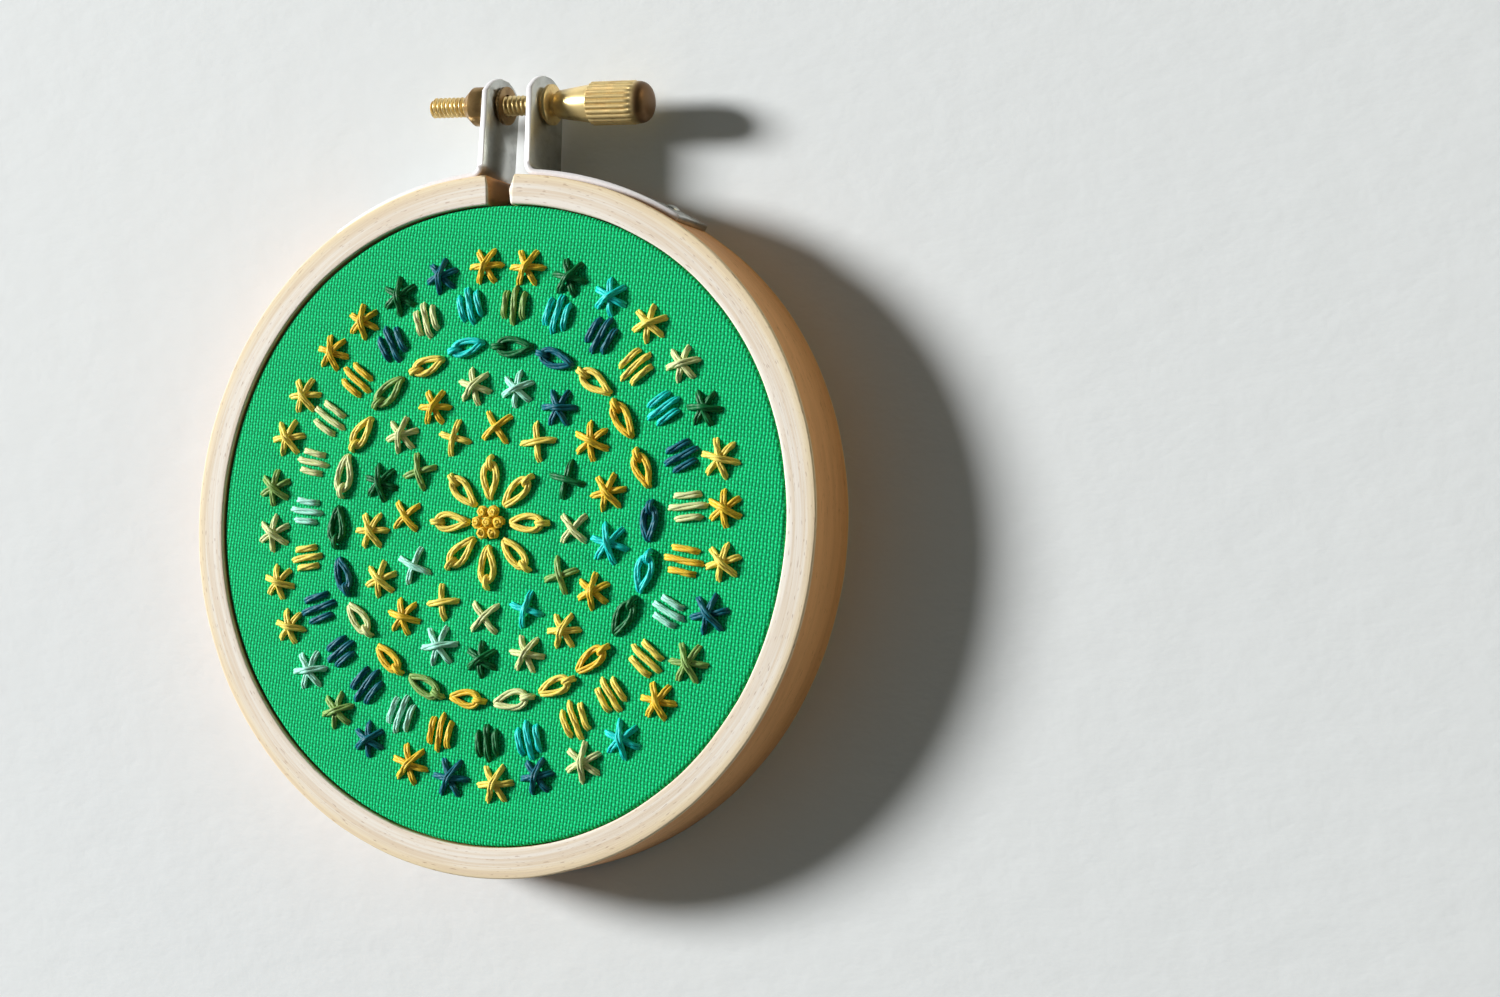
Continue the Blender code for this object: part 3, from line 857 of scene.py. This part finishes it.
def stitching_tree():
    """Geometry Nodes that lay strands of thread, wound loosely together, along every stitch."""
    inputs = (
        ("Stitches", "Geometry"),
        ("Strands", "Int", 3),
        ("Strand Radius", "Float", 0.23 * MM),
        ("Spread", "Float", 0.22 * MM),
        ("Turns per Metre", "Float", 90.0),
        ("Step", "Float", 0.36 * MM),
        ("Sides", "Int", 6),
        ("Thread", "Material"),
    )
    outputs = (("Thread Laid", "Geometry"),)
    tree, given, result = new_group("laid thread", inputs, outputs, "GeometryNodeTree")
    curve = add(tree, "GeometryNodeMeshToCurve", {0: given["Stitches"]}).outputs[0]
    even = add(tree, "GeometryNodeResampleCurve", {"Curve": curve, "Length": given["Step"]}, mode="LENGTH")
    values = {"Geometry": even.outputs[0], "Amount": given["Strands"]}
    many = add(tree, "GeometryNodeDuplicateElements", values, domain="SPLINE")
    copy_number = many.outputs["Duplicate Index"]
    tangent = tree.nodes.new("GeometryNodeInputTangent").outputs[0]
    length = tree.nodes.new("GeometryNodeSplineParameter").outputs["Length"]
    across = calc_vector(tree, "NORMALIZE", calc_vector(tree, "CROSS_PRODUCT", tangent, (0.0, 0.0, 1.0)))
    upward = calc_vector(tree, "CROSS_PRODUCT", across, tangent)
    phase = add(tree, "GeometryNodeInputNamedAttribute", {"Name": "phase"}, data_type="FLOAT").outputs[0]
    turns = times(tree, length, given["Turns per Metre"])
    share = calc(tree, "DIVIDE", copy_number, given["Strands"])
    total = plus(tree, plus(tree, turns, share), phase)
    angle = times(tree, total, math.tau)
    sideways = times(tree, calc(tree, "COSINE", angle), given["Spread"])
    raised = times(tree, times(tree, calc(tree, "SINE", angle), given["Spread"]), 0.6)
    offset = calc_vector(tree, "ADD", scaled(tree, across, sideways), scaled(tree, upward, raised))
    values = {"Geometry": many.outputs["Geometry"], "Offset": offset}
    laid = add(tree, "GeometryNodeSetPosition", values).outputs[0]
    position = tree.nodes.new("GeometryNodeInputPosition").outputs[0]
    for name, kind, value in (
        ("thread core", "FLOAT_VECTOR", position),
        ("thread side", "FLOAT_VECTOR", across),
        ("thread along", "FLOAT", length),
    ):
        values = {"Geometry": laid, "Name": name, "Value": value}
        laid = add(tree, "GeometryNodeStoreNamedAttribute", values, data_type=kind).outputs[0]
    values = {"Resolution": given["Sides"], "Radius": given["Strand Radius"]}
    circle = add(tree, "GeometryNodeCurvePrimitiveCircle", values).outputs[0]
    values = {"Curve": laid, "Profile Curve": circle, "Fill Caps": True}
    tube = add(tree, "GeometryNodeCurveToMesh", values).outputs[0]
    smooth = add(tree, "GeometryNodeSetShadeSmooth", {"Geometry": tube}).outputs[0]
    tree.links.new(made_real(tree, smooth, given["Thread"]), result[0])
    return tree


def run_tree(obj, tree, **values):
    """Runs a Geometry Nodes tree on the object, with inputs set by their names through identifiers."""
    modifier = obj.modifiers.new(tree.name, "NODES")
    modifier.node_group = tree
    for item in tree.interface.items_tree:
        key = item.name.replace(" ", "_")
        if item.in_out == "INPUT" and key in values:
            modifier[item.identifier] = values[key]
    return baked(obj)


def lay_thread(name, stitches, sizes):
    """One piece of laid thread along all these stitches."""
    tree = bpy.data.node_groups.get("laid thread") or stitching_tree()
    hand = random.Random(len(stitches))
    verts = []
    edges = []
    colours = []
    phases = []
    for stitch in stitches:
        first = len(verts)
        verts += [tuple(point) for point in stitch.points]
        edges += [(number, number + 1) for number in range(first, len(verts) - 1)]
        phase = hand.random()
        for _ in stitch.points:
            colours += [*stitch.colour, 1.0]
            phases.append(phase)
    mesh = bpy.data.meshes.new(name)
    mesh.from_pydata(verts, edges, [])
    mesh.attributes.new("thread colour", "FLOAT_COLOR", "POINT").data.foreach_set("color", colours)
    mesh.attributes.new("phase", "FLOAT", "POINT").data.foreach_set("value", phases)
    made = in_scene(name, mesh)
    thread = MATERIALS["sewing_thread"]
    run_tree(made, tree, Strands=sizes.strands, Strand_Radius=sizes.strand_radius, Thread=thread)
    as_piece(made, "hoop", "sewing_thread")


class HOOP_OT_stitches(bpy.types.Operator):
    """Sew the rings of motifs, and the thread that crosses behind the cloth"""

    bl_idname = "hoop.stitches"
    bl_label = "Stitches"

    def execute(self, context):
        prepare_materials(context.scene)
        sizes = context.scene.hoop_sizes
        kinds = design(sizes)
        for kind, stitches in kinds.items():
            if stitches:
                lay_thread("stitched_" + kind, stitches, sizes)
        lay_thread("stitches_behind", reverse_side(kinds), sizes)
        return {"FINISHED"}


class HOOP_OT_cloth(bpy.types.Operator):
    """Stretch the cotton over the inner ring, drawn in a little wherever thread goes through"""

    bl_idname = "hoop.cloth"
    bl_label = "Cloth"

    def execute(self, context):
        prepare_materials(context.scene)
        corner = CLOTH_R - CLOTH_FOLD_R
        face = [Vector((corner * step / CLOTH_RINGS, 0, CLOTH_TOP)) for step in range(CLOTH_RINGS)]
        under = [point - Vector((0, 0, CLOTH_THICKNESS)) for point in face]
        for step in range(CLOTH_FOLD_STEPS + 1):
            angle = math.pi / 2 * (1 - step / CLOTH_FOLD_STEPS)
            spoke = Vector((math.cos(angle), 0, math.sin(angle)))
            centre = Vector((corner, 0, CLOTH_TOP - CLOTH_FOLD_R))
            face.append(centre + spoke * CLOTH_FOLD_R)
            under.append(centre + spoke * (CLOTH_FOLD_R - CLOTH_THICKNESS))
        for step in range(1, CLOTH_SKIRT_STEPS + 1):
            height = CLOTH_TOP - CLOTH_FOLD_R
            height += (CLOTH_TRIM - height) * step / CLOTH_SKIRT_STEPS
            face.append(Vector((CLOTH_R, 0, height)))
            under.append(Vector((CLOTH_R - CLOTH_THICKNESS, 0, height)))
        bm = spun(face + under[::-1], Z_AXIS, CLOTH_STEPS)
        bend(bm)
        self.draw_in(bm, design(context.scene.hoop_sizes))
        cloth = piece_from(bm, "stretched_cotton", "cotton")
        as_piece(cloth, "hoop", "cotton", "cloth")
        return {"FINISHED"}

    def draw_in(self, bm, kinds):
        """Dents the cloth where each stitch goes through it."""
        depth = 0.1 * MM
        width = 0.75 * MM
        cell = 3 * width
        holes = {}
        for stitches in kinds.values():
            for stitch in stitches:
                for end in (stitch.points[0], stitch.points[-1]):
                    holes.setdefault((round(end.x / cell), round(end.y / cell)), []).append(end)
        for vert in bm.verts:
            if vert.co.z < CLOTH_TOP - CLOTH_FOLD_R:
                continue
            column = round(vert.co.x / cell)
            row = round(vert.co.y / cell)
            drawn = 0.0
            for x in (column - 1, column, column + 1):
                for y in (row - 1, row, row + 1):
                    for hole in holes.get((x, y), ()):
                        away = math.hypot(vert.co.x - hole.x, vert.co.y - hole.y)
                        drawn = max(drawn, math.exp(-((away / width) ** 2)))
            vert.co.z -= depth * drawn


# The metal fittings

# The plain nodes' clearance, which the straps and brads are pressed over. A strap's faces are at most
# STRAP_RISE above the wood, and its lug is left alone from LUG_RISE up
CLEARANCE = 0.3 * MM
STRAP_RISE = 1.2 * MM
LUG_RISE = 2.4 * MM
LUG_FOOT = 48.0 * MM


def node_copy(node):
    """The node's own mesh as a bmesh, with its loose triangles joined."""
    bm = bmesh.new()
    bm.from_mesh(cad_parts[node].data)
    bmesh.ops.remove_doubles(bm, verts=bm.verts, dist=0.001 * MM)
    return bm


def press_on(bm):
    """Brings a strap down on the wood, over the clearance that the plain node keeps. The lug stays."""
    for vert in bm.verts:
        out = Vector((vert.co.x, vert.co.y, 0)) - HOOP_MIDDLE
        over_wood = out.length - RING_R - out_of_round(math.atan2(out.y, out.x))
        share = (LUG_RISE - over_wood) / (LUG_RISE - STRAP_RISE)
        vert.co -= out.normalized() * (CLEARANCE - TOUCH) * min(max(share, 0.0), 1.0)


def mark_sheared_edges(mesh):
    """Gives the strip's long cut edges, up and round the lug, the second material."""
    mesh.materials.append(MATERIALS["sheared steel"])
    for face in mesh.polygons:
        on_lug = face.center.y - HOOP_MIDDLE.y > LUG_FOOT
        cut = abs(face.normal.z) > 0.3 or (on_lug and abs(face.normal.x) < 0.5)
        face.material_index = 1 if cut else 0


def on_screw_axis(bm):
    """Puts a piece turned round X on the screw's own axis."""
    place = Matrix.Translation(SCREW_MIDDLE) @ Matrix.Rotation(-SCREW_LEAN, 4, "Z")
    bmesh.ops.transform(bm, matrix=place, verts=bm.verts)


# The screw's collar and tapered neck, left to right, in mm: each row is (distance along the axis, radius)
COLLAR_X = 3.84 * MM
COLLAR_PROFILE = (
    (3.84, 0.0), (3.84, 2.42), (3.96, 2.6), (4.34, 2.6), (4.46, 2.42), (4.46, 1.4),
    (5.12, 1.4), (5.2, 1.48), (5.2, 1.7), (5.28, 1.78), (9.9, 2.42), (10.0, 2.44),
)
GRIP_START = 10.0 * MM
GRIP_END = 16.2 * MM
GRIP_R = 2.75 * MM
GRIP_RIDGES = 24
GRIP_RIDGE_DEPTH = 0.2 * MM
GRIP_BEVEL = 0.16 * MM
GRIP_STEPS_PER_RIDGE = 8
GRIP_ROWS = 10
CROWN_R = 2.64 * MM
CROWN_LENGTH = 2.0 * MM
CROWN_FULLNESS = 0.72
CROWN_STEPS = 14
THREAD_R = 1.3 * MM
THREAD_DEPTH = 0.34 * MM
THREAD_PITCH = 0.64 * MM
THREAD_START = -13.4 * MM
THREAD_ROWS = 10
THREAD_TIP_R = 0.85 * MM


def reshape(bm, rule):
    """Moves each point of a piece turned round X to the radius that the rule gives it."""
    for vert in bm.verts:
        radius = math.hypot(vert.co.y, vert.co.z)
        if radius > 0.01 * MM:
            share = rule(vert.co.x, radius, math.atan2(vert.co.z, vert.co.y)) / radius
            vert.co.y *= share
            vert.co.z *= share


def rolled_thread(along, radius, angle):
    """A rolled thread, with rounded crests and narrower roots."""
    if radius < THREAD_R * 0.98:
        return radius
    turns = along / THREAD_PITCH - angle / math.tau
    wave = 0.5 - 0.5 * math.cos(math.tau * turns)
    return radius - THREAD_DEPTH * wave**1.4


def pressed_ridges(along, radius, angle):
    """Straight ridges pressed into the grip, from end to end."""
    if radius < GRIP_R * 0.98 or not GRIP_START < along < GRIP_END:
        return radius
    wave = abs(math.sin(GRIP_RIDGES * angle / 2))
    return radius - GRIP_RIDGE_DEPTH * (1 - wave)


def turned_brass(name, profile, steps, rule):
    """A piece turned in brass: the profile spun, reshaped by the rule and put on the screw's axis."""
    bm = spun(profile, X_AXIS, steps)
    reshape(bm, rule)
    on_screw_axis(bm)
    return piece_from(bm, name, "brass", math.radians(50))


class HOOP_OT_screw(bpy.types.Operator):
    """Turn the brass thumbscrew, thread, collar and ridged grip, and the nut that it runs in"""

    bl_idname = "hoop.screw"
    bl_label = "Thumbscrew and Nut"

    def execute(self, context):
        prepare_materials(context.scene)
        screw = turned_brass("brass_thumbscrew", self.shank(), SCREW_STEPS, rolled_thread)
        steps = GRIP_RIDGES * GRIP_STEPS_PER_RIDGE
        head = turned_brass("screw head", self.head(), steps, pressed_ridges)
        combined(screw, head, "UNION")
        screw.data.set_sharp_from_angle(angle=math.radians(38))
        as_piece(screw, "screw", "brass", "thumbscrew")

        # Painted shade: the nut gets the darker brass.
        nut = piece_from(node_copy("thread_nut"), "brass_nut", "tarnished brass", math.radians(30))
        as_piece(nut, "hoop", "brass", "thread_nut")
        return {"FINISHED"}

    def shank(self):
        """The threaded part's profile, from its tip to inside the collar."""
        start = THREAD_START + THREAD_PITCH * 0.4
        end = COLLAR_X + 0.2 * MM
        rows = round((end - start) / THREAD_PITCH * THREAD_ROWS)
        points = [(THREAD_START, 0, 0), (THREAD_START, THREAD_TIP_R, 0)]
        points += [(start + (end - start) * row / rows, THREAD_R, 0) for row in range(rows + 1)]
        return points + [(end, 0, 0)]

    def head(self):
        """The collar's, neck's, grip's and crown's profile."""
        points = [(x * MM, radius * MM, 0) for x, radius in COLLAR_PROFILE]
        start = GRIP_START + GRIP_BEVEL
        length = GRIP_END - GRIP_START - 2 * GRIP_BEVEL
        points += [(start + length * row / GRIP_ROWS, GRIP_R, 0) for row in range(GRIP_ROWS + 1)]
        points.append((GRIP_END, CROWN_R, 0))
        for step in range(1, CROWN_STEPS):
            angle = math.pi / 2 * step / CROWN_STEPS
            along = CROWN_LENGTH * math.sin(angle) ** CROWN_FULLNESS
            points.append((GRIP_END + along, CROWN_R * math.cos(angle) ** CROWN_FULLNESS, 0))
        return points + [(GRIP_END + CROWN_LENGTH, 0, 0)]


BRADS = ("brad_1", "brad_2", "brad_3", "brad_4")
BRAD_HEAD_R = 0.9 * MM
BRAD_HEAD_HEIGHT = 0.35 * MM
BRAD_STEPS = 24


def brad_tree(head):
    """Geometry Nodes that set one brad on each point, turned to the point's own way out."""
    inputs = (("Points", "Geometry"), ("Head Size", "Float", 1.0), ("Metal", "Material"))
    tree, given, result = new_group("set brads", inputs, (("Brads", "Geometry"),), "GeometryNodeTree")
    model = add(tree, "GeometryNodeObjectInfo", {"Object": head}).outputs["Geometry"]
    way = add(tree, "GeometryNodeInputNamedAttribute", {"Name": "way out"}, data_type="FLOAT_VECTOR")
    turn = add(tree, "FunctionNodeAlignRotationToVector", {"Vector": way.outputs[0]}, axis="X").outputs[0]
    values = {"Points": given["Points"], "Instance": model, "Rotation": turn, "Scale": given["Head Size"]}
    placed = add(tree, "GeometryNodeInstanceOnPoints", values).outputs[0]
    tree.links.new(made_real(tree, placed, given["Metal"]), result[0])
    return tree


class HOOP_OT_straps(bpy.types.Operator):
    """Make the two bent steel straps and the brads that hold them to the ring"""

    bl_idname = "hoop.straps"
    bl_label = "Straps and Brads"

    def execute(self, context):
        prepare_materials(context.scene)
        for side in ("left", "right"):
            node = "bracket_" + side
            bm = node_copy(node)
            press_on(bm)
            strap = piece_from(bm, "steel_strap_" + side, "plated_steel", math.radians(30))
            mark_sheared_edges(strap.data)
            as_piece(strap, "hoop", "plated_steel", node)

        mesh = bpy.data.meshes.new("set_brads")
        tops = []
        ways = []
        for node in BRADS:
            low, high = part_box(node)
            spot = (low + high) / 2 - HOOP_MIDDLE
            spot.z = 0
            way = spot.normalized()
            reach = max(way.dot(vert.co - HOOP_MIDDLE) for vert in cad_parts[node].data.vertices)
            top = HOOP_MIDDLE + way * (reach - 2 * (CLEARANCE - TOUCH))
            tops.append((top.x, top.y, RING_DEPTH / 2))
            ways.extend(way)
        mesh.from_pydata(tops, [], [])
        mesh.attributes.new("way out", "FLOAT_VECTOR", "POINT").data.foreach_set("vector", ways)
        brads = in_scene("steel_brads", mesh)
        head = self.brad_model()
        run_tree(brads, brad_tree(head), Metal=MATERIALS["plated_steel"])
        bpy.data.objects.remove(head)
        as_piece(brads, "hoop", "plated_steel", *BRADS)
        return {"FINISHED"}

    def brad_model(self):
        """One brad along X with the top of its domed head at the origin."""
        shank_r = 0.4 * MM
        length = 2.6 * MM
        seat = -BRAD_HEAD_HEIGHT
        profile = [(-length, 0, 0), (-length + shank_r, shank_r, 0), (seat, shank_r, 0)]
        steps = 6
        for step in range(steps):
            lift = math.pi / 2 * step / steps
            profile.append((seat + BRAD_HEAD_HEIGHT * math.sin(lift), BRAD_HEAD_R * math.cos(lift), 0))
        profile.append((0, 0, 0))
        return piece_from(spun(profile, X_AXIS, BRAD_STEPS), "brad model", "plated_steel")


# The stage: where the photograph was taken from, and its light from the left
CAMERA_PLACE = Vector((0.13937, -0.01431, 0.25213))
CAMERA_BACK = Vector((0.39557, -0.04224, 0.91745))
CAMERA_UP = Vector((-0.00910, 0.99868, 0.0499))
CAMERA_LENS = 53.35
SENSOR_WIDTH = 36.0
FLOOR_SIZE = 6.0

# Each light: (name, place, width, power, colour)
LIGHTS = (
    ("window", Vector((-3.5, 0.83, 1.87)), 1.0, 306.0, (1.0, 1.0, 0.99)),
    ("warm wall", Vector((1.7, 0.9, 0.22)), 0.8, 8.2, (1.0, 0.86, 0.57)),
)
ROOM_STRENGTH = 0.22


class HOOP_OT_stage(bpy.types.Operator):
    """Lay the plain floor, and set the camera and the soft light"""

    bl_idname = "hoop.stage"
    bl_label = "Stage"

    def execute(self, context):
        scene = context.scene
        scene.view_settings.view_transform = "Standard"
        self.floor(scene)
        self.camera(scene)
        for light in LIGHTS:
            self.light(*light)
        self.surroundings(scene)
        return {"FINISHED"}

    def floor(self, scene):
        bm = bmesh.new()
        bmesh.ops.create_grid(bm, x_segments=1, y_segments=1, size=FLOOR_SIZE / 2)
        mesh = bpy.data.meshes.new("floor")
        bm.to_mesh(mesh)
        bm.free()
        made, tree, shader, in_mm = new_material("plain floor", 0.9, Specular_IOR_Level=0.1)
        shader.inputs["Base Color"].default_value = (*scene.hoop_colours.floor, 1.0)
        brushed = mottle(tree, in_mm, (0.12, 0.2, 0.2), 4.0, 0.6)
        join(tree, shader, Normal=bump(tree, brushed, 0.5 * MM, 0.25))
        mesh.materials.append(made)
        in_scene("floor", mesh)

    def camera(self, scene):
        lens = bpy.data.cameras.new("camera")
        lens.lens = CAMERA_LENS
        lens.sensor_width = SENSOR_WIDTH
        lens.clip_start = 0.01
        camera = in_scene("camera", lens)
        right = CAMERA_UP.cross(CAMERA_BACK).normalized()
        back = CAMERA_BACK.normalized()
        turned = Matrix((right, back.cross(right), back)).transposed().to_4x4()
        camera.matrix_world = Matrix.Translation(CAMERA_PLACE) @ turned
        scene.camera = camera

    def light(self, name, place, size, power, colour):
        lamp = bpy.data.lights.new(name, "AREA")
        lamp.shape = "DISK"
        lamp.size = size
        lamp.energy = power
        lamp.color = colour
        made = in_scene(name, lamp)
        made.location = place
        made.rotation_euler = (HOOP_MIDDLE - place).to_track_quat("-Z", "Y").to_euler()

    def surroundings(self, scene):
        """A pale room that is brighter on the window's side."""
        world = bpy.data.worlds.new("room")
        world.use_nodes = True
        scene.world = world
        tree = world.node_tree
        way = tree.nodes.new("ShaderNodeTexCoord").outputs["Generated"]
        toward_room = rise(tree, split(tree, way)[0], -0.9, 0.7)
        colour = tint(tree, toward_room, srgb(236, 240, 240), srgb(84, 99, 92))
        tree.links.new(colour, tree.nodes["Background"].inputs["Color"])
        tree.nodes["Background"].inputs["Strength"].default_value = ROOM_STRENGTH


class HOOP_PT_panel(bpy.types.Panel):
    bl_idname = "HOOP_PT_panel"
    bl_label = "Embroidered Hoop"
    bl_space_type = "VIEW_3D"
    bl_region_type = "UI"
    bl_category = "Hoop"

    def draw(self, context):
        layout = self.layout
        for group in (context.scene.hoop_sizes, context.scene.hoop_colours):
            column = layout.column(align=True)
            for name in group.__annotations__:
                column.prop(group, name)
        column = layout.column(align=True)
        for operator in OPERATORS:
            column.operator(operator.bl_idname)


OPERATORS = (HOOP_OT_rings, HOOP_OT_cloth, HOOP_OT_stitches, HOOP_OT_straps, HOOP_OT_screw, HOOP_OT_stage)
CLASSES = (HoopSizes, HoopColours, *OPERATORS, HOOP_PT_panel)


def register():
    for item in CLASSES:
        bpy.utils.register_class(item)
    bpy.types.Scene.hoop_sizes = PointerProperty(type=HoopSizes)
    bpy.types.Scene.hoop_colours = PointerProperty(type=HoopColours)


def unregister():
    del bpy.types.Scene.hoop_colours
    del bpy.types.Scene.hoop_sizes
    for item in reversed(CLASSES):
        bpy.utils.unregister_class(item)


def main():
    register()
    bpy.ops.hoop.stage()
    bpy.ops.hoop.rings()
    bpy.ops.hoop.cloth()
    bpy.ops.hoop.stitches()
    bpy.ops.hoop.straps()
    bpy.ops.hoop.screw()


if __name__ == "__main__":
    main()
